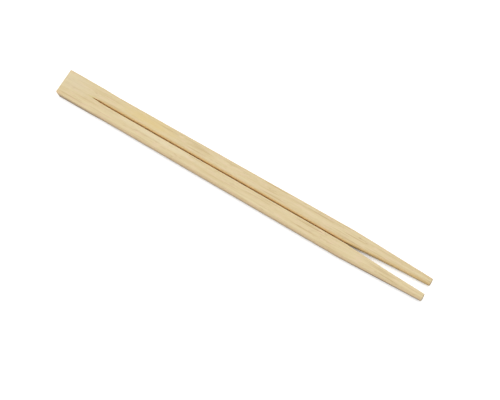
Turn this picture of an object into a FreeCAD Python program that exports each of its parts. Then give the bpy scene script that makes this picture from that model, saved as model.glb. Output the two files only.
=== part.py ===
"""A pair of disposable bamboo chopsticks, still joined at the head, as one solid in millimetres.

The pair is cut from one flat strip of bamboo. The head is left whole. A saw parts the rest into
two sticks, and milling cutters round every long edge of each stick and turn the tips round.

Frame: +X runs along the pair and +Z is up. The pair lies on Z = 0, centred on the origin.
"""

import FreeCAD
import Part
import math
import os

# The strip
length = 210.0  # from the head end to the tips
thickness = 4.5
head_width = 14.2  # across both sticks, at the joined head
neck_width = 14.1  # across both sticks, where the milling behind the head reaches its full depth
belly_width = 15.5  # across both sticks, where the tips begin to narrow

# The head
eased_edge = 0.25  # corners of the head, broken by sanding
end_lean = 1.2  # how far the sawn end leans in, from its top edge to its bottom edge

# The saw cut that parts the sticks
joined_length = 17.5  # uncut head, measured along the top face
slit_width = 0.6
saw_radius = 30.0
saw_overshoot = 8.0  # how far the saw reaches below the strip

# The milled sticks
edge_radius = 1.3  # long edges of each stick
cutter_radius = 32.0  # of the cutters that round the edges, seen where they run out

# The tips
taper_length = 45.0
gap_bow = 0.4  # how much steeper the gap starts to open than on a straight line
tip_diameter = 3.9
tip_gap = 4.7  # clear space between the two tips
tip_roundness = 0.9  # 1 is a full circle, less leaves narrow flats
tip_end_radius = 0.6  # rounding of the blunt end
tip_end_turn = 85.0  # degrees that this rounding turns through, up to the flat end face

run_in_steps = 5
taper_steps = 7
tip_end_steps = 4

# What follows from those sizes
saw_height = saw_radius - saw_overshoot  # of the saw's axle above the table


def saw_reach(height):
    """How far the saw cuts ahead of its axle, at a height above the table."""
    return math.sqrt(saw_radius**2 - (saw_height - height) ** 2)


saw_axle = joined_length + saw_reach(thickness)
head_length = saw_axle - saw_reach(0.0)  # the slit is through the strip from here on
run_in_depth = edge_radius - eased_edge
run_in_length = math.sqrt(2.0 * cutter_radius * run_in_depth - run_in_depth**2)
milled_start = head_length + run_in_length  # full edge rounding from here on
taper_start = length - taper_length
tip_shoulder = length - tip_end_radius * math.sin(math.radians(tip_end_turn))
slit_half = slit_width / 2.0
tip_radius = tip_diameter / 2.0
tip_inner = tip_gap / 2.0
tip_outer = tip_inner + tip_diameter


def rounded_rectangle(x, inner, outer, low, high, radius):
    """A closed wire across the pair at x, from four straight sides and four corner arcs."""
    corners = [
        (outer - radius, high - radius, 0.0),
        (inner + radius, high - radius, 90.0),
        (inner + radius, low + radius, 180.0),
        (outer - radius, low + radius, 270.0),
    ]
    points = []
    for y, z, turn in corners:
        start = math.radians(turn)
        points.append(
            [
                FreeCAD.Vector(x, y + radius * math.cos(start + step), z + radius * math.sin(start + step))
                for step in (0.0, math.pi / 4.0, math.pi / 2.0)
            ]
        )
    edges = []
    for index, (first, middle, last) in enumerate(points):
        edges.append(Part.Arc(first, middle, last).toShape())
        edges.append(Part.makeLine(last, points[(index + 1) % len(points)][0]))
    return Part.Wire(edges)


def between(first, last, share):
    return first + (last - first) * share


def body_section(x, width, radius):
    """One stick's section at x, between the head and the taper. The width is that of the pair."""
    return rounded_rectangle(x, slit_half, width / 2.0, 0.0, thickness, radius)


def run_in_sections():
    """Sections where the milling runs in: it deepens along the cutter's own arc."""
    sections = []
    for step in range(run_in_steps + 1):
        x = head_length + run_in_length * step / run_in_steps
        lift = cutter_radius - math.sqrt(cutter_radius**2 - (milled_start - x) ** 2)
        width = between(neck_width, head_width, lift / run_in_depth)
        sections.append(body_section(x, width, edge_radius - lift))
    return sections


def body_sections():
    """The milled stick's two ends. Its sides are straight in between."""
    neck = body_section(milled_start, neck_width, edge_radius)
    return [neck, body_section(taper_start, belly_width, edge_radius)]


def tip_section(x, share, inset=0.0):
    """One stick's section in the taper. Share is 0 at its start and 1 at the tip's end."""
    middle = thickness / 2.0
    opened = share + gap_bow * share * (1.0 - share)
    inner = between(slit_half, tip_inner, opened) + inset
    outer = between(belly_width / 2.0, tip_outer, share) - inset
    half_height = between(middle, tip_radius, share) - inset
    radius = between(edge_radius, tip_radius * tip_roundness, share)
    radius = radius * (1.0 - inset / tip_radius)
    return rounded_rectangle(x, inner, outer, middle - half_height, middle + half_height, radius)


def taper_sections():
    """Sections from the full stick to where the tip's end begins to round over."""
    reach = tip_shoulder - taper_start
    sections = []
    for step in range(taper_steps + 1):
        travel = reach * step / taper_steps
        sections.append(tip_section(taper_start + travel, travel / taper_length))
    return sections


def tip_end_sections():
    """Sections round the blunt end of a tip."""
    share = (tip_shoulder - taper_start) / taper_length
    sections = []
    for step in range(tip_end_steps + 1):
        turned = math.radians(tip_end_turn) * step / tip_end_steps
        x = tip_shoulder + tip_end_radius * math.sin(turned)
        inset = tip_end_radius * (1.0 - math.cos(turned))
        sections.append(tip_section(x, share, inset))
    return sections


def stick():
    """The stick on the +Y side, from the head to its tip."""
    run_in = Part.makeLoft(run_in_sections(), True, False)
    body = Part.makeLoft(body_sections(), True, True)
    taper = Part.makeLoft(taper_sections(), True, False)
    tip_end = Part.makeLoft(tip_end_sections(), True, False)
    return run_in.fuse([body, taper, tip_end])


def head():
    """The joined head: a plain slab with eased long edges and a sawn end that leans in."""
    half = head_width / 2.0
    start = rounded_rectangle(0.0, -half, half, 0.0, thickness, eased_edge)
    slab = Part.Face(start).extrude(FreeCAD.Vector(head_length, 0.0, 0.0))
    waste = Part.makePolygon(
        [
            FreeCAD.Vector(0.0, -head_width, thickness),
            FreeCAD.Vector(end_lean, -head_width, 0.0),
            FreeCAD.Vector(end_lean, -head_width, -thickness),
            FreeCAD.Vector(-head_width, -head_width, -thickness),
            FreeCAD.Vector(-head_width, -head_width, thickness),
            FreeCAD.Vector(0.0, -head_width, thickness),
        ]
    )
    return slab.cut(Part.Face(waste).extrude(FreeCAD.Vector(0.0, 2.0 * head_width, 0.0)))


def saw():
    """The disc that cuts the slit into the head."""
    return Part.makeCylinder(
        saw_radius,
        slit_width,
        FreeCAD.Vector(saw_axle, -slit_half, saw_height),
        FreeCAD.Vector(0.0, 1.0, 0.0),
    )


def chopsticks():
    right = stick()
    left = right.mirror(FreeCAD.Vector(), FreeCAD.Vector(0.0, 1.0, 0.0))
    pair = head().cut(saw()).fuse([right, left]).removeSplitter()
    pair.translate(FreeCAD.Vector(-length / 2.0, 0.0, 0.0))
    return pair


def main():
    os.makedirs("parts", exist_ok=True)
    pair = chopsticks()
    print("solids", len(pair.Solids), "valid", pair.isValid(), "volume", round(pair.Volume, 1))
    print("box", pair.BoundBox)
    pair.Solids[0].exportStep("parts/chopsticks.step")


main()
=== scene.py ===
import bmesh
import bpy
import math
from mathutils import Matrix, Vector


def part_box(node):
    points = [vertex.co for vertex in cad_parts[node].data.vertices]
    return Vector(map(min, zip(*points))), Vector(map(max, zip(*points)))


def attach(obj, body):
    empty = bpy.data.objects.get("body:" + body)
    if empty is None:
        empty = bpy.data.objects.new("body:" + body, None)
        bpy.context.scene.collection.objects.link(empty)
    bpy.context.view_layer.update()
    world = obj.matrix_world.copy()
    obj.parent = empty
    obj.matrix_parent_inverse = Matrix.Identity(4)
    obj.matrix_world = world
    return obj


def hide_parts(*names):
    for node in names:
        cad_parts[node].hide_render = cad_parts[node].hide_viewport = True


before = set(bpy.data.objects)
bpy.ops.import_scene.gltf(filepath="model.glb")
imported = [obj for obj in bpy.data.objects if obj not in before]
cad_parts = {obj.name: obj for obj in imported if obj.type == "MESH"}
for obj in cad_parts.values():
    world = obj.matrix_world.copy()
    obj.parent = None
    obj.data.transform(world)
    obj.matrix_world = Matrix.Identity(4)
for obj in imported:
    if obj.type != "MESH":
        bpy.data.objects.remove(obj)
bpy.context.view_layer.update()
print("frame loaded")


# Node steps that the studio and the bamboo share
def isSocket(value):
    return isinstance(value, bpy.types.NodeSocket)


def addStep(tree, kind, values, **settings):  # values are sockets to link or constants to set
    step = tree.nodes.new(kind)
    for name, value in settings.items():
        setattr(step, name, value)
    for name, value in values.items():
        if isSocket(value):
            tree.links.new(value, step.inputs[name])
        else:
            step.inputs[name].default_value = value
    return step


def mapValue(tree, value, fromLow, fromHigh, toLow=0.0, toHigh=1.0):
    ends = {"From Min": fromLow, "From Max": fromHigh, "To Min": toLow, "To Max": toHigh}
    step = addStep(tree, "ShaderNodeMapRange", {"Value": value, **ends}, interpolation_type="SMOOTHSTEP")
    return step.outputs["Result"]


def compute(tree, operation, first, second=0.0):
    return addStep(tree, "ShaderNodeMath", {0: first, 1: second}, operation=operation).outputs["Value"]


def computeVector(tree, operation, first, second):
    return addStep(tree, "ShaderNodeVectorMath", {0: first, 1: second}, operation=operation).outputs["Vector"]


def mixColors(tree, share, first, last):  # sockets 6, 7 and 2 are the Mix node's own for colours
    first = first if isSocket(first) else (*first, 1.0)
    last = last if isSocket(last) else (*last, 1.0)
    return addStep(tree, "ShaderNodeMix", {0: share, 6: first, 7: last}, data_type="RGBA").outputs[2]


# The studio
cameraView = {
    "lookAt": (0.00827, -0.00443, 0.0),  # a place on the floor
    "distance": 0.5,
    "elevation": 74.0,  # degrees above the floor
    "turn": 30.86,  # degrees that the camera is turned round from the pair's own line
    "lens": 72.56,
    "nearest": 0.01,  # what is closer than this isn't drawn
}


def addCamera():
    view = cameraView
    tilt = math.radians(90.0 - view["elevation"])
    turn = math.radians(view["turn"])
    back = Vector((math.sin(turn) * math.sin(tilt), -math.cos(turn) * math.sin(tilt), math.cos(tilt)))
    place = Vector(view["lookAt"]) + back * view["distance"]
    bpy.ops.object.camera_add(location=place, rotation=(tilt, 0.0, turn))
    camera = bpy.context.object
    camera.name = "studioCamera"
    camera.data.lens = view["lens"]
    camera.data.clip_start = view["nearest"]
    bpy.context.scene.camera = camera


studioLight = {
    "skyOverhead": 0.86,
    "skyAtSides": 0.42,
    "skyShown": 1.0,  # what the camera and the reflections see
    "keyPower": 38.6,
    "keySize": 2.2,
    "keyDistance": 3.0,
    "keyElevation": 75.0,
    "keyTurn": 110.0,  # degrees round from +X, so the light comes over the far stick
}

studioPaper = {
    "size": 6.0,
    "color": (0.9, 0.9, 0.9),
    "bounce": (0.5, 0.5, 0.5),  # what the pair gets back from the paper
    "lift": 0.38,  # added for the camera alone, so that the open paper reads white
    "gap": 0.012,  # the lift fades out between things that stand this close together, which paints shade on the paper in narrow gaps
    "gapRange": (0.12, 0.42),  # openness of a gap where the lift is gone, and where it is whole
}


def addLights():
    light = studioLight
    turn = math.radians(light["keyTurn"])
    rise = math.radians(light["keyElevation"])
    toLight = Vector((math.cos(turn) * math.cos(rise), math.sin(turn) * math.cos(rise), math.sin(rise)))
    aim = toLight.to_track_quat("Z", "Y").to_euler()
    bpy.ops.object.light_add(type="AREA", location=toLight * light["keyDistance"], rotation=aim)
    key = bpy.context.object
    key.name = "keySoftbox"
    key.data.shape = "DISK"
    key.data.size = light["keySize"]
    key.data.energy = light["keyPower"]


def addBackground(tree, strength):
    values = {"Color": (1.0, 1.0, 1.0, 1.0), "Strength": strength}
    return addStep(tree, "ShaderNodeBackground", values).outputs["Background"]


def addSky():
    world = bpy.data.worlds.new("studioSky")
    world.use_nodes = True
    bpy.context.scene.world = world
    tree = world.node_tree
    tree.nodes.clear()
    direction = addStep(tree, "ShaderNodeTexCoord", {}).outputs["Generated"]
    height = addStep(tree, "ShaderNodeSeparateXYZ", {"Vector": direction}).outputs["Z"]
    fade = {"Value": height, "To Min": studioLight["skyAtSides"], "To Max": studioLight["skyOverhead"]}
    room = addBackground(tree, addStep(tree, "ShaderNodeMapRange", fade).outputs["Result"])
    white = addBackground(tree, studioLight["skyShown"])
    rays = addStep(tree, "ShaderNodeLightPath", {}).outputs
    seen = compute(tree, "MAXIMUM", rays["Is Camera Ray"], rays["Is Glossy Ray"])
    shown = addStep(tree, "ShaderNodeMixShader", {0: seen, 1: room, 2: white}).outputs["Shader"]
    addStep(tree, "ShaderNodeOutputWorld", {"Surface": shown})


def addFloor():
    bpy.ops.mesh.primitive_plane_add(size=studioPaper["size"], location=(0.0, 0.0, 0.0))
    floor = bpy.context.object
    floor.name = "studioFloor"
    paper = bpy.data.materials.new("floorPaper")
    paper.use_nodes = True
    tree = paper.node_tree
    tree.nodes.clear()
    toCamera = addStep(tree, "ShaderNodeLightPath", {}).outputs["Is Camera Ray"]
    color = mixColors(tree, toCamera, studioPaper["bounce"], studioPaper["color"])
    matt = addStep(tree, "ShaderNodeBsdfDiffuse", {"Color": color}).outputs["BSDF"]
    # Painted shade: ambient occlusion takes the lift away in narrow gaps
    openness = addStep(tree, "ShaderNodeAmbientOcclusion", {"Distance": studioPaper["gap"]}).outputs["AO"]
    lift = mapValue(tree, openness, *studioPaper["gapRange"], 0.0, studioPaper["lift"])
    lift = compute(tree, "MULTIPLY", toCamera, lift)
    glow = addStep(tree, "ShaderNodeEmission", {"Strength": lift}).outputs["Emission"]
    both = addStep(tree, "ShaderNodeAddShader", {0: matt, 1: glow}).outputs["Shader"]
    addStep(tree, "ShaderNodeOutputMaterial", {"Surface": both})
    floor.data.materials.append(paper)


addCamera()
addLights()
addSky()
addFloor()
print("studio ready")


# The pair, sawn and milled from one strip. Its length, thickness and full width are the frame's.
pairShape = {
    "jointLength": 0.0175,  # whole head, along the top face
    "headWidth": 0.0142,
    "neckWidth": 0.0141,
    "headRound": 0.00025,
    "cornerRound": 0.0006,  # of the head, seen from above
    "endLean": 0.0012,
    "endEase": 0.00016,
    "edgeRound": 0.0013,
    "cutterRadius": 0.032,
    "slitWidth": 0.0006,
    "sawRadius": 0.030,
    "sawOvershoot": 0.008,
    "rimDepth": 0.0018,  # the saw narrows towards its rim
    "rimWidth": 0.15,  # share of the slit's width at the very rim
    "taperLength": 0.045,
    "gapBow": 0.4,
    "tipDiameter": 0.0039,
    "tipGap": 0.0047,
    "tipFullness": 0.9,
    "tipRound": 0.0006,
    "relief": 0.00005,
    "reliefLength": 0.022,
    "reliefWidth": 0.0011,
}

# How finely the pair is divided
pairMesh = {
    "headStep": 0.0018,
    "bodyStep": 0.0026,
    "taperStep": 0.0014,
    "partingStep": 0.0001,  # the halves part over this length, where the saw comes through
    "sawMargin": 0.00008,  # the saw's disc ends this far into that step
    "cornerSteps": 4,
    "roundingSteps": 6,
    "tipEndSteps": 5,
    "endEaseSteps": 2,
    "sawSides": 512,
    "widestFlat": 0.0016,  # wider flats are divided
    "flatCuts": 7,
    "smoothAngle": 32.0,
}

squareOn = 0.9  # a face with more of its normal than this along an axis faces that way
closeBy = 0.00002  # nearer than this is the same place
mergeWithin = 0.000001

lowCorner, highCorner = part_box("chopsticks")
headEnd = lowCorner.x
tipEnd = highCorner.x
thickness = highCorner.z - lowCorner.z
bellyHalf = highCorner.y
headHalf = pairShape["headWidth"] / 2.0
neckHalf = pairShape["neckWidth"] / 2.0
slitHalf = pairShape["slitWidth"] / 2.0
sawHeight = pairShape["sawRadius"] - pairShape["sawOvershoot"]


def sawReach(height):  # how far the saw cuts ahead of its axle
    return math.sqrt(pairShape["sawRadius"] ** 2 - (sawHeight - height) ** 2)


sawAxle = headEnd + pairShape["jointLength"] + sawReach(thickness)
slitStart = sawAxle - sawReach(0.0)  # the slit goes right through from here on
runInDepth = pairShape["edgeRound"] - pairShape["headRound"]
runInLength = math.sqrt(2.0 * pairShape["cutterRadius"] * runInDepth - runInDepth ** 2)
milledStart = slitStart + runInLength
taperStart = tipEnd - pairShape["taperLength"]
tipRadius = pairShape["tipDiameter"] / 2.0
fullestRound = tipRadius * pairShape["tipFullness"]


def blend(first, last, share):
    return first + (last - first) * share


def runInLift(place):  # how far the cutter is still above its full depth
    radius = pairShape["cutterRadius"]
    return radius - math.sqrt(radius ** 2 - (milledStart - place) ** 2)


def cornerPlaces():
    steps = pairMesh["cornerSteps"]
    turns = (math.pi / 2.0 * step / steps for step in range(steps + 1))
    return [headEnd + pairShape["cornerRound"] * (1.0 - math.cos(turn)) for turn in turns]


def sectionAt(place):  # inner side, outer side and half height of a stick
    if place < headEnd + pairShape["cornerRound"]:
        radius = pairShape["cornerRound"]
        reach = math.sqrt(max(0.0, radius ** 2 - (radius - place + headEnd) ** 2))
        return 0.0, headHalf - radius + reach, thickness / 2.0
    if place <= slitStart:
        return 0.0, headHalf, thickness / 2.0
    if place < milledStart:
        return slitHalf, blend(neckHalf, headHalf, runInLift(place) / runInDepth), thickness / 2.0
    if place < taperStart:
        share = (place - milledStart) / (taperStart - milledStart)
        return slitHalf, blend(neckHalf, bellyHalf, share), thickness / 2.0
    share = (place - taperStart) / pairShape["taperLength"]
    opened = share + pairShape["gapBow"] * share * (1.0 - share)
    inner = blend(slitHalf, pairShape["tipGap"] / 2.0, opened)
    outer = blend(bellyHalf, pairShape["tipGap"] / 2.0 + pairShape["tipDiameter"], share)
    return inner, outer, blend(thickness / 2.0, tipRadius, share)


def roundingAt(place):
    if place <= slitStart:
        return pairShape["headRound"]
    if place < milledStart:
        return pairShape["edgeRound"] - runInLift(place)
    if place < taperStart:
        return pairShape["edgeRound"]
    share = (place - taperStart) / pairShape["taperLength"]
    return blend(pairShape["edgeRound"], fullestRound, share)


def placesBetween(first, last, step):
    count = max(1, round((last - first) / step))
    return [first + (last - first) * index / count for index in range(1, count + 1)]


def stationPlaces():  # where the block is cut across, so that each section can have its own size
    parted = slitStart + pairMesh["partingStep"]
    places = cornerPlaces()
    places += placesBetween(headEnd + pairMesh["headStep"], slitStart, pairMesh["headStep"])
    places.append(parted)
    places += placesBetween(parted, milledStart, pairMesh["taperStep"] / 2.0)
    places += placesBetween(milledStart, taperStart, pairMesh["bodyStep"])
    places += placesBetween(taperStart, tipEnd, pairMesh["taperStep"])
    return places


def deselectAll():
    if bpy.context.object and bpy.context.object.mode != "OBJECT":
        bpy.ops.object.mode_set(mode="OBJECT")
    bpy.ops.object.select_all(action="DESELECT")


def takeUp(piece):  # alone selected, and active
    deselectAll()
    piece.select_set(True)
    bpy.context.view_layer.objects.active = piece


def pick(kind, test):  # selects the vertices, edges or faces in edit mode that pass a test
    mesh = bmesh.from_edit_mesh(bpy.context.object.data)
    mesh.normal_update()
    for part in list(mesh.verts) + list(mesh.edges) + list(mesh.faces):
        part.select = False
    for part in getattr(mesh, kind):
        if test(part):
            part.select_set(True)
    mesh.select_flush_mode()
    bmesh.update_edit_mesh(bpy.context.object.data)


def pickRim(test):  # selects the edges round the faces that pass a test
    pick("edges", lambda edge: sum(test(face) for face in edge.link_faces) == 1)


def middleOf(part):
    return sum((vertex.co for vertex in part.verts), Vector()) / len(part.verts)


def addHalfBlock():
    deselectAll()
    bpy.ops.mesh.primitive_cube_add(
        size=1.0,
        location=((headEnd + tipEnd) / 2.0, headHalf / 2.0, thickness / 2.0),
        scale=(tipEnd - headEnd, headHalf, thickness),
    )
    bpy.ops.object.transform_apply(location=True, rotation=True, scale=True)
    block = bpy.context.object
    block.name = "chopstickPair"
    bpy.ops.object.mode_set(mode="EDIT")
    for place in stationPlaces()[1:-1]:
        bpy.ops.mesh.select_all(action="SELECT")
        bpy.ops.mesh.bisect(plane_co=(place, 0.0, 0.0), plane_no=(1.0, 0.0, 0.0))
    return block


def millSections():  # each section is drawn in to its own width and height
    bpy.ops.mesh.select_mode(type="VERT")
    for place in stationPlaces():
        inner, outer, halfHeight = sectionAt(place)
        pick("verts", lambda vertex: abs(vertex.co.x - place) < closeBy)
        bpy.ops.transform.resize(
            value=(1.0, (outer - inner) / headHalf, halfHeight * 2.0 / thickness),
            center_override=(place, 0.0, thickness / 2.0),
        )
        bpy.ops.transform.translate(value=(0.0, inner, 0.0))


def leanHeadEnd():  # the lower edge moves in, and the stations behind it follow a little
    for place in cornerPlaces():
        pick("verts", lambda vertex: abs(vertex.co.x - place) < closeBy and vertex.co.z < thickness / 2.0)
        lean = pairShape["endLean"] * (1.0 - (place - headEnd) / pairMesh["headStep"])
        bpy.ops.transform.translate(value=(lean, 0.0, 0.0))


def isLongEdge(edge):
    first, last = (vertex.co for vertex in edge.verts)
    along = abs(last.x - first.x) > max(abs(last.y - first.y), abs(last.z - first.z))
    onMirror = min(first.y, last.y) < slitHalf / 2.0
    return along and not onMirror


def roundLongEdges(block):
    mesh = bmesh.from_edit_mesh(block.data)
    weight = mesh.edges.layers.float.new("bevel_weight_edge")
    for edge in mesh.edges:
        if isLongEdge(edge):
            edge[weight] = roundingAt(middleOf(edge).x) / fullestRound
    bmesh.update_edit_mesh(block.data)
    bpy.ops.object.mode_set(mode="OBJECT")
    rounding = block.modifiers.new("millCutter", "BEVEL")
    rounding.limit_method = "WEIGHT"
    rounding.width = fullestRound
    rounding.segments = pairMesh["roundingSteps"]
    rounding.use_clamp_overlap = False
    bpy.ops.object.modifier_apply(modifier=rounding.name)
    bpy.ops.object.mode_set(mode="EDIT")


def isTipEnd(face):
    return face.normal.x > squareOn and middleOf(face).x > tipEnd - closeBy


def roundTipEnd():
    pickRim(isTipEnd)
    steps = pairMesh["tipEndSteps"]
    bpy.ops.mesh.bevel(offset=pairShape["tipRound"], segments=steps, affect="EDGES", clamp_overlap=False)


def isWide(edge):
    first, last = (vertex.co for vertex in edge.verts)
    return abs(first.x - last.x) < closeBy and (first - last).length > pairMesh["widestFlat"]


def divideFlats():  # more rows along the flat sides, to carry the unevenness of the wood
    pick("edges", isWide)
    bpy.ops.mesh.subdivide(number_cuts=pairMesh["flatCuts"])


def mirrorHalf(block):
    pick("faces", lambda face: all(vertex.co.y < mergeWithin for vertex in face.verts))
    bpy.ops.mesh.delete(type="FACE")
    bpy.ops.object.mode_set(mode="OBJECT")
    twin = block.modifiers.new("twin", "MIRROR")
    twin.use_axis = (False, True, False)
    twin.use_mirror_merge = True
    twin.merge_threshold = mergeWithin * 2.0
    bpy.ops.object.modifier_apply(modifier=twin.name)


def addSawDisc():  # narrowed towards its rim, and cut off where the halves have parted
    deselectAll()
    axle = (sawAxle, 0.0, sawHeight)
    bpy.ops.mesh.primitive_cylinder_add(
        vertices=pairMesh["sawSides"],
        radius=pairShape["sawRadius"],
        depth=pairShape["slitWidth"],
        location=axle,
        rotation=(math.pi / 2.0, 0.0, 0.0),
    )
    bpy.ops.object.transform_apply(location=True, rotation=True, scale=True)
    disc = bpy.context.object
    disc.name = "sawDisc"
    bpy.ops.object.mode_set(mode="EDIT")
    bpy.ops.mesh.select_mode(type="FACE")
    pick("faces", lambda face: abs(face.normal.y) > squareOn)
    bpy.ops.mesh.inset(thickness=pairShape["rimDepth"], depth=0.0)
    bpy.ops.mesh.select_mode(type="VERT")
    rim = pairShape["sawRadius"] - pairShape["rimDepth"] / 2.0
    pick("verts", lambda vertex: math.hypot(vertex.co.x - sawAxle, vertex.co.z - sawHeight) > rim)
    bpy.ops.transform.resize(value=(1.0, pairShape["rimWidth"], 1.0), center_override=axle)
    bpy.ops.mesh.select_all(action="SELECT")
    end = (slitStart + pairMesh["sawMargin"], 0.0, 0.0)
    bpy.ops.mesh.bisect(plane_co=end, plane_no=(1.0, 0.0, 0.0), use_fill=True, clear_outer=True)
    return disc


def sawSlit(block):
    disc = addSawDisc()
    takeUp(block)
    cut = block.modifiers.new("sawCut", "BOOLEAN")
    cut.operation = "DIFFERENCE"
    cut.solver = "EXACT"
    cut.object = disc
    bpy.ops.object.modifier_apply(modifier=cut.name)
    bpy.data.objects.remove(disc)


def isHeadEnd(face):
    return face.normal.x < -squareOn and middleOf(face).x < headEnd + pairMesh["headStep"]


def easeHeadEnd():
    bpy.ops.object.mode_set(mode="EDIT")
    pickRim(isHeadEnd)
    steps = pairMesh["endEaseSteps"]
    bpy.ops.mesh.bevel(offset=pairShape["endEase"], segments=steps, affect="EDGES", clamp_overlap=True)
    bpy.ops.object.mode_set(mode="OBJECT")


def addRelief(block):  # the slight waves that a planer leaves along the fibres
    bpy.ops.object.empty_add(location=(0.0, 0.0, 0.0))
    grainSpace = bpy.context.object
    grainSpace.scale = (pairShape["reliefLength"], pairShape["reliefWidth"], pairShape["reliefWidth"])
    bpy.context.view_layer.update()
    waves = bpy.data.textures.new("planerWaves", "CLOUDS")
    waves.noise_scale = 1.0
    waves.noise_depth = 1
    takeUp(block)
    relief = block.modifiers.new("planerRelief", "DISPLACE")
    relief.texture = waves
    relief.texture_coords = "OBJECT"
    relief.texture_coords_object = grainSpace
    relief.strength = pairShape["relief"]
    relief.mid_level = 0.5  # as much outwards as inwards
    bpy.ops.object.modifier_apply(modifier=relief.name)
    bpy.data.objects.remove(grainSpace)


def finishPair():
    bpy.ops.object.mode_set(mode="EDIT")
    bpy.ops.mesh.select_all(action="SELECT")
    bpy.ops.mesh.remove_doubles(threshold=mergeWithin)
    bpy.ops.mesh.normals_make_consistent(inside=False)
    bpy.ops.object.mode_set(mode="OBJECT")
    bpy.ops.object.shade_smooth_by_angle(angle=math.radians(pairMesh["smoothAngle"]))


def buildPair():
    block = addHalfBlock()
    millSections()
    leanHeadEnd()
    roundLongEdges(block)
    roundTipEnd()
    divideFlats()
    mirrorHalf(block)
    sawSlit(block)
    easeHeadEnd()
    addRelief(block)
    finishPair()
    return block


pair = buildPair()
print("pair modelled:", len(pair.data.polygons), "faces")


# The bamboo: tones and sizes of its grain on the planed faces
bambooLook = {
    "light": (0.70, 0.585, 0.345),
    "dark": (0.60, 0.465, 0.235),
    "rosy": (0.69, 0.535, 0.33),
    "bundle": (0.50, 0.36, 0.16),
    "bundleWidth": 0.0008,
    "bundleLength": 0.022,
    "bundleStrength": 0.85,
    "fleck": (0.36, 0.21, 0.09),
    "fleckWidth": 0.00022,
    "fleckLength": 0.0035,
    "fleckStrength": 0.65,
    "smoothest": 0.42,
    "roughest": 0.6,
    "fleckRoughness": 0.3,  # added on the flecks
    "bump": 0.00006,
}

# The cross-cut ends
endLook = {
    "light": (0.60, 0.48, 0.30),
    "dark": (0.49, 0.375, 0.215),
    "rosy": (0.60, 0.48, 0.30),
    "bundle": (0.30, 0.19, 0.09),
    "bundleWidth": 0.00055,
    "bundleLength": 0.022,
    "bundleStrength": 0.95,
    "smoothest": 0.64,
    "roughest": 0.8,
    "bump": 0.00008,
    "markSize": (0.01, 0.004, 0.00012),
    "markShade": 0.35,
}

# The walls of the slit: their own sawn colour, lightened and made more orange as painted warm bounce light in
# the narrow slit
sawnLook = {
    "light": (0.95, 0.72, 0.36),
    "dark": (0.84, 0.56, 0.24),
    "rosy": (0.95, 0.72, 0.36),
    "bundle": (0.66, 0.40, 0.14),
    "bundleWidth": 0.0008,
    "bundleLength": 0.022,
    "bundleStrength": 0.4,
    "smoothest": 0.62,
    "roughest": 0.78,
    "bump": 0.00012,
    "markSize": (0.0003, 0.01, 0.004),
    "markShade": 0.35,
}

# How the patterns are laid out. A density counts the waves of a pattern, per metre where it says so and
# otherwise per length and width of a bundle or fleck. A range is where a pattern fades in.
grainPattern = {
    "noiseRoughness": 0.6,
    "wanderDensity": (28.0, 160.0, 160.0),  # per metre
    "wanderReach": (0.0, 0.0007, 0.0007),
    "fineDensity": (1.6, 4.5, 4.5),
    "fineRange": (0.35, 0.65),
    "fineShare": 0.55,
    "broadDensity": (0.7, 0.5, 0.5),
    "broadRange": (0.3, 0.7),
    "broadShare": 0.45,
    "patchDensity": (4.0, 0.8, 0.8),
    "patchRange": (0.5, 0.72),
    "bundleRange": (0.48, 0.16),
    "faintestBundle": 0.15,
    "bundleDip": 0.6,
    "fleckRange": (0.63, 0.72),
    "areaDensity": (0.12, 0.1, 0.1),
    "areaRange": (0.42, 0.62),
    "raggedDensity": (150.0, 1200.0, 1200.0),  # per metre
    "raggedRange": (0.3, 0.7),
    "raggedness": 0.2,
    "tintRange": (1.1, 0.05),
    "markRange": (0.5, 0.75),
    "roughRange": (0.3, 0.7),
}


def noiseAt(tree, place, detail, density=None, output="Fac"):
    if density:
        place = computeVector(tree, "MULTIPLY", place, density)
    values = {"Vector": place, "Scale": 1.0, "Detail": detail, "Roughness": grainPattern["noiseRoughness"]}
    return addStep(tree, "ShaderNodeTexNoise", values).outputs[output]


def newGroup(name, inputs, outputs):
    tree = bpy.data.node_groups.new(name, "ShaderNodeTree")
    for label, kind in inputs.items():
        tree.interface.new_socket(name=label, in_out="INPUT", socket_type="NodeSocket" + kind)
    for label, kind in outputs.items():
        tree.interface.new_socket(name=label, in_out="OUTPUT", socket_type="NodeSocket" + kind)
    return tree, tree.nodes.new("NodeGroupInput").outputs, tree.nodes.new("NodeGroupOutput").inputs


def alongFibres(tree, place, length, width):  # stretches a place along the fibres, which run in X
    size = addStep(tree, "ShaderNodeCombineXYZ", {"X": length, "Y": width, "Z": width}).outputs["Vector"]
    return computeVector(tree, "DIVIDE", place, size)


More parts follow.
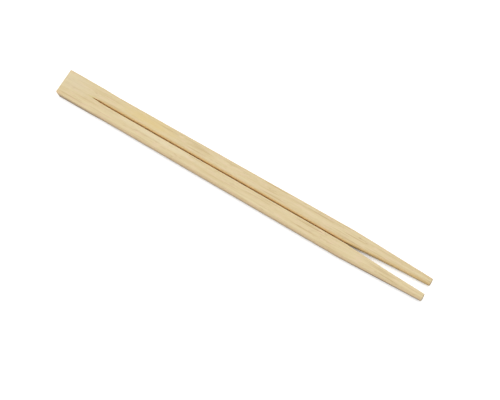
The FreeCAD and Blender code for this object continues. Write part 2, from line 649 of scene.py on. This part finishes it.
def makeGrainGroup():
    pattern = grainPattern
    bundle = {"Bundle Length": "Float", "Bundle Width": "Float", "Bundle Strength": "Float"}
    tones = {"Light Color": "Color", "Dark Color": "Color", "Rosy Color": "Color", "Bundle Color": "Color"}
    outputs = {"Color": "Color", "Fibres": "Float", "Height": "Float"}
    tree, given, result = newGroup("bambooGrain", {"Vector": "Vector", **bundle, **tones}, outputs)
    wander = noiseAt(tree, given["Vector"], 1.0, pattern["wanderDensity"], "Color")
    wander = computeVector(tree, "MULTIPLY", wander, pattern["wanderReach"])
    place = computeVector(tree, "ADD", given["Vector"], wander)
    place = alongFibres(tree, place, given["Bundle Length"], given["Bundle Width"])
    fine = noiseAt(tree, place, 3.0, pattern["fineDensity"])
    broad = noiseAt(tree, place, 2.0, pattern["broadDensity"])
    patches = noiseAt(tree, place, 1.0, pattern["patchDensity"])
    cells = addStep(tree, "ShaderNodeTexVoronoi", {"Vector": place, "Scale": 1.0}).outputs
    random = addStep(tree, "ShaderNodeSeparateColor", {"Color": cells["Color"]}).outputs["Red"]
    faintness = mapValue(tree, random, 0.0, 1.0, pattern["faintestBundle"], 1.0)
    bundles = compute(tree, "MULTIPLY", mapValue(tree, cells["Distance"], *pattern["bundleRange"]), faintness)
    fineTone = mapValue(tree, fine, *pattern["fineRange"], 0.0, pattern["fineShare"])
    broadTone = mapValue(tree, broad, *pattern["broadRange"], 0.0, pattern["broadShare"])
    tone = compute(tree, "ADD", fineTone, broadTone)
    color = mixColors(tree, tone, given["Dark Color"], given["Light Color"])
    color = mixColors(tree, mapValue(tree, patches, *pattern["patchRange"]), color, given["Rosy Color"])
    shade = compute(tree, "MULTIPLY", bundles, given["Bundle Strength"])
    dip = compute(tree, "MULTIPLY", bundles, pattern["bundleDip"])
    tree.links.new(mixColors(tree, shade, color, given["Bundle Color"]), result["Color"])
    tree.links.new(fine, result["Fibres"])
    tree.links.new(compute(tree, "SUBTRACT", fine, dip), result["Height"])
    return tree


def makeFleckGroup():
    inputs = {"Vector": "Vector", "Fleck Length": "Float", "Fleck Width": "Float", "Strength": "Float"}
    tree, given, result = newGroup("darkFlecks", inputs, {"Mask": "Float"})
    place = alongFibres(tree, given["Vector"], given["Fleck Length"], given["Fleck Width"])
    flecks = mapValue(tree, noiseAt(tree, place, 1.0), *grainPattern["fleckRange"])
    areas = noiseAt(tree, place, 1.0, grainPattern["areaDensity"])
    flecks = compute(tree, "MULTIPLY", flecks, mapValue(tree, areas, *grainPattern["areaRange"]))
    tree.links.new(compute(tree, "MULTIPLY", flecks, given["Strength"]), result["Mask"])
    return tree


def makePlaceGroup():
    pattern = grainPattern
    inputs = {"Vector": "Vector", "Center": "Vector", "Reach": "Vector", "Strength": "Float"}
    tree, given, result = newGroup("tintedPlace", inputs, {"Mask": "Float"})
    away = computeVector(tree, "SUBTRACT", given["Vector"], given["Center"])
    away = computeVector(tree, "DIVIDE", away, given["Reach"])
    away = addStep(tree, "ShaderNodeVectorMath", {0: away}, operation="LENGTH").outputs["Value"]
    ragged = noiseAt(tree, given["Vector"], 2.0, pattern["raggedDensity"])
    ragged = mapValue(tree, ragged, *pattern["raggedRange"], -pattern["raggedness"], pattern["raggedness"])
    mask = mapValue(tree, compute(tree, "ADD", away, ragged), *pattern["tintRange"])
    tree.links.new(compute(tree, "MULTIPLY", mask, given["Strength"]), result["Mask"])
    return tree


def makeSawGroup():
    inputs = {"Vector": "Vector", "Mark Size": "Vector"}
    tree, given, result = newGroup("sawMarks", inputs, {"Height": "Float", "Mask": "Float"})
    place = computeVector(tree, "DIVIDE", given["Vector"], given["Mark Size"])
    marks = noiseAt(tree, place, 2.0)
    tree.links.new(marks, result["Height"])
    tree.links.new(mapValue(tree, marks, *grainPattern["markRange"]), result["Mask"])
    return tree


grainGroup = makeGrainGroup()
fleckGroup = makeFleckGroup()
placeGroup = makePlaceGroup()
sawGroup = makeSawGroup()
print("grain, flecks, tints and saw marks ready")


def addGroup(tree, group, values):
    return addStep(tree, "ShaderNodeGroup", values, node_tree=group).outputs


def newMaterial(name):
    material = bpy.data.materials.new(name)
    material.use_nodes = True
    return material, material.node_tree, material.node_tree.nodes["Principled BSDF"]


def addGrain(tree, place, look):
    return addGroup(tree, grainGroup, {
        "Vector": place,
        "Bundle Length": look["bundleLength"],
        "Bundle Width": look["bundleWidth"],
        "Bundle Strength": look["bundleStrength"],
        "Light Color": (*look["light"], 1.0),
        "Dark Color": (*look["dark"], 1.0),
        "Rosy Color": (*look["rosy"], 1.0),
        "Bundle Color": (*look["bundle"], 1.0),
    })


def addRoughness(tree, fibres, look):
    return mapValue(tree, fibres, *grainPattern["roughRange"], look["smoothest"], look["roughest"])


def addBump(tree, height, distance, shader):
    bump = addStep(tree, "ShaderNodeBump", {"Height": height, "Distance": distance, "Strength": 1.0})
    tree.links.new(bump.outputs["Normal"], shader.inputs["Normal"])


# Places on the planed faces that differ in colour; two of them are painted light and shade, as marked below
placeTints = {
    "palerHead": {
        "center": (-0.099, 0.002, 0.0045),
        "reach": (0.013, 0.006, 0.005),
        "color": (0.665, 0.565, 0.365),
        "strength": 0.6,
    },
    "warmCorner": {
        "center": (-0.1045, -0.007, 0.003),
        "reach": (0.0035, 0.0026, 0.004),
        "color": (0.70, 0.44, 0.24),
        "strength": 0.55,
    },
    "farCorner": {
        "center": (-0.1045, 0.0068, 0.0045),
        "reach": (0.004, 0.002, 0.003),
        "color": (0.72, 0.53, 0.30),
        "strength": 0.4,
    },
    "honeyBand": {
        "center": (-0.056, 0.0038, 0.0045),
        "reach": (0.021, 0.0042, 0.004),
        "color": (0.68, 0.52, 0.22),
        "strength": 0.75,
    },
    "slitStart": {
        "center": (-0.0868, 0.0001, 0.0045),
        "reach": (0.0035, 0.0005, 0.001),
        "color": (0.58, 0.50, 0.17),
        "strength": 0.7,
    },
    # painted warm shade where the slit's groove deepens at its start
    "slitShadeSpot": {
        "center": (-0.0815, -0.0005, 0.0044),
        "reach": (0.0013, 0.0004, 0.0012),
        "color": (0.72, 0.32, 0.06),
        "strength": 0.8,
    },
    # painted highlight: the near stick's rounding beside the slit, lit from the far side
    "highlightRun": {
        "center": (-0.045, -0.0022, 0.0045),
        "reach": (0.045, 0.0016, 0.003),
        "color": (0.74, 0.645, 0.43),
        "strength": 0.5,
    },
}

# Painted light and shade on the sides. A turn is how much of the normal points outwards, where the paint
# fades in.
sideTints = {
    "farInnerBounce": (0.85, 0.59, 0.265),  # painted warm bounce light and shade along the slit and between the tips, on the far stick
    "nearInnerHighlight": (0.93, 0.80, 0.54),  # the same side of the near stick, painted highlight where its rounding faces the light
    "innerStrength": 0.62,
    "innerTurn": (-0.15, -0.9),
    "stickParting": 0.0001,  # half of the width over which one inner tint gives way to the other
    "side": (0.93, 0.68, 0.40),  # painted warm bounce light that lightens the shaded outer sides and makes them redder
    "sideStrength": 0.7,
    "sideTurn": (0.35, 0.95),
    "paintedUnderShade": (0.25, 0.13, 0.055),  # painted shade: the contact shadow along the lower edge of the outer sides
    "underStrength": 0.9,
    "underTurn": (0.3, 0.75),
    "underHeight": (0.00215, 0.00145),
    "underRagged": 0.0005,
    "tipUnderTurn": (0.3, -0.1),  # the painted shade under the tips follows how far a face looks down
    "tipUnderPlace": (0.055, 0.08),
}


def tintPlaces(tree, place, color):
    for tint in placeTints.values():
        values = {"Center": tint["center"], "Reach": tint["reach"], "Strength": tint["strength"]}
        mask = addGroup(tree, placeGroup, {"Vector": place, **values})["Mask"]
        color = mixColors(tree, mask, color, tint["color"])
    return color


# Paints light and shade onto the sides: a highlight, warm bounce light and the contact shadow
def paintSideLightAndShade(tree, place, normal, fibres, color):
    tints = sideTints
    where = addStep(tree, "ShaderNodeSeparateXYZ", {"Vector": place}).outputs
    facing = addStep(tree, "ShaderNodeSeparateXYZ", {"Vector": normal}).outputs
    outward = compute(tree, "MULTIPLY", compute(tree, "SIGN", where["Y"]), facing["Y"])
    # Painted light on the inner roundings: a highlight on the near stick, warm bounce light and shade on the
    # far stick
    inner = compute(tree, "MULTIPLY", mapValue(tree, outward, *tints["innerTurn"]), tints["innerStrength"])
    onFarStick = mapValue(tree, where["Y"], -tints["stickParting"], tints["stickParting"])
    innerLightPaint = mixColors(tree, onFarStick, tints["nearInnerHighlight"], tints["farInnerBounce"])
    color = mixColors(tree, inner, color, innerLightPaint)
    # Painted warm bounce light that lightens the shaded outer sides
    side = compute(tree, "MULTIPLY", mapValue(tree, outward, *tints["sideTurn"]), tints["sideStrength"])
    color = mixColors(tree, side, color, tints["side"])
    # Painted shade: darker low on the outer sides and under the tips, where the contact shadow falls
    height = compute(tree, "ADD", where["Z"], compute(tree, "MULTIPLY", fibres, tints["underRagged"]))
    low = mapValue(tree, height, *tints["underHeight"])
    down = mapValue(tree, facing["Z"], *tints["tipUnderTurn"])
    down = compute(tree, "MULTIPLY", down, mapValue(tree, where["X"], *tints["tipUnderPlace"]))
    outer = mapValue(tree, outward, *tints["underTurn"], 0.0, tints["underStrength"])
    paintedUnderShade = compute(tree, "MULTIPLY", compute(tree, "MAXIMUM", low, down), outer)
    return mixColors(tree, paintedUnderShade, color, tints["paintedUnderShade"])


def makePlaned():
    look = bambooLook
    material, tree, shader = newMaterial("bambooPlaned")
    given = addStep(tree, "ShaderNodeTexCoord", {}).outputs
    place = given["Object"]
    grain = addGrain(tree, place, look)
    values = {"Vector": place, "Fleck Length": look["fleckLength"], "Fleck Width": look["fleckWidth"]}
    flecks = addGroup(tree, fleckGroup, {**values, "Strength": look["fleckStrength"]})["Mask"]
    color = mixColors(tree, flecks, grain["Color"], look["fleck"])
    color = tintPlaces(tree, place, color)
    # painted light and shade on the sides
    color = paintSideLightAndShade(tree, place, given["Normal"], grain["Fibres"], color)
    tree.links.new(color, shader.inputs["Base Color"])
    rougher = compute(tree, "MULTIPLY", flecks, look["fleckRoughness"])
    rough = compute(tree, "ADD", addRoughness(tree, grain["Fibres"], look), rougher)
    tree.links.new(rough, shader.inputs["Roughness"])
    addBump(tree, grain["Height"], look["bump"], shader)
    return material


def makeCut(name, look):
    material, tree, shader = newMaterial(name)
    place = addStep(tree, "ShaderNodeTexCoord", {}).outputs["Object"]
    grain = addGrain(tree, place, look)
    marks = addGroup(tree, sawGroup, {"Vector": place, "Mark Size": look["markSize"]})
    shade = compute(tree, "MULTIPLY", marks["Mask"], look["markShade"])
    tree.links.new(mixColors(tree, shade, grain["Color"], look["bundle"]), shader.inputs["Base Color"])
    tree.links.new(addRoughness(tree, grain["Fibres"], look), shader.inputs["Roughness"])
    addBump(tree, compute(tree, "ADD", grain["Height"], marks["Height"]), look["bump"], shader)
    return material


# Which faces are cut ones. A turn is how much of a face's normal points along an axis.
cutFaces = {
    "headDepth": 0.003,  # the head's end leans and is eased within this length
    "headTurn": 0.6,
    "tipDepth": 0.001,
    "tipTurn": 0.4,
    "wallTurn": 0.95,
    "runOutTurn": 0.1,  # faces on the saw's own arc turn less than this to the sides
    "runOutFrom": 0.01,  # behind the head's end
    "runOutPast": 0.001,
    "skin": 0.0001,  # depth under the flat faces where the slit's walls begin
}


def isEndFace(face):
    middle = middleOf(face)
    atHead = face.normal.x < -cutFaces["headTurn"] and middle.x < headEnd + cutFaces["headDepth"]
    atTips = face.normal.x > cutFaces["tipTurn"] and middle.x > tipEnd - cutFaces["tipDepth"]
    return atHead or atTips


def isSlitWall(face):
    middle = middleOf(face)
    turn = abs(face.normal.y)
    onWall = turn > cutFaces["wallTurn"] and middle.x < taperStart
    nearSaw = headEnd + cutFaces["runOutFrom"] < middle.x < slitStart + cutFaces["runOutPast"]
    onRunOut = nearSaw and turn < cutFaces["runOutTurn"]
    inSlit = abs(middle.y) < slitHalf + closeBy
    deep = cutFaces["skin"] < middle.z < thickness - cutFaces["skin"]
    return inSlit and deep and (onWall or onRunOut)


def dressPair(block):
    block.data.materials.clear()
    block.data.materials.append(makePlaned())
    block.data.materials.append(makeCut("bambooEndGrain", endLook))
    block.data.materials.append(makeCut("bambooSawn", sawnLook))
    takeUp(block)
    bpy.ops.object.mode_set(mode="EDIT")
    bpy.ops.mesh.select_mode(type="FACE")
    for index, test in ((1, isEndFace), (2, isSlitWall)):
        pick("faces", test)
        block.active_material_index = index
        bpy.ops.object.material_slot_assign()
    bpy.ops.object.mode_set(mode="OBJECT")


dressPair(pair)
print("bamboo dressed:", len(pair.data.materials), "materials")

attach(pair, "root")
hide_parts("chopsticks")

bpy.context.scene.view_settings.view_transform = "Standard"
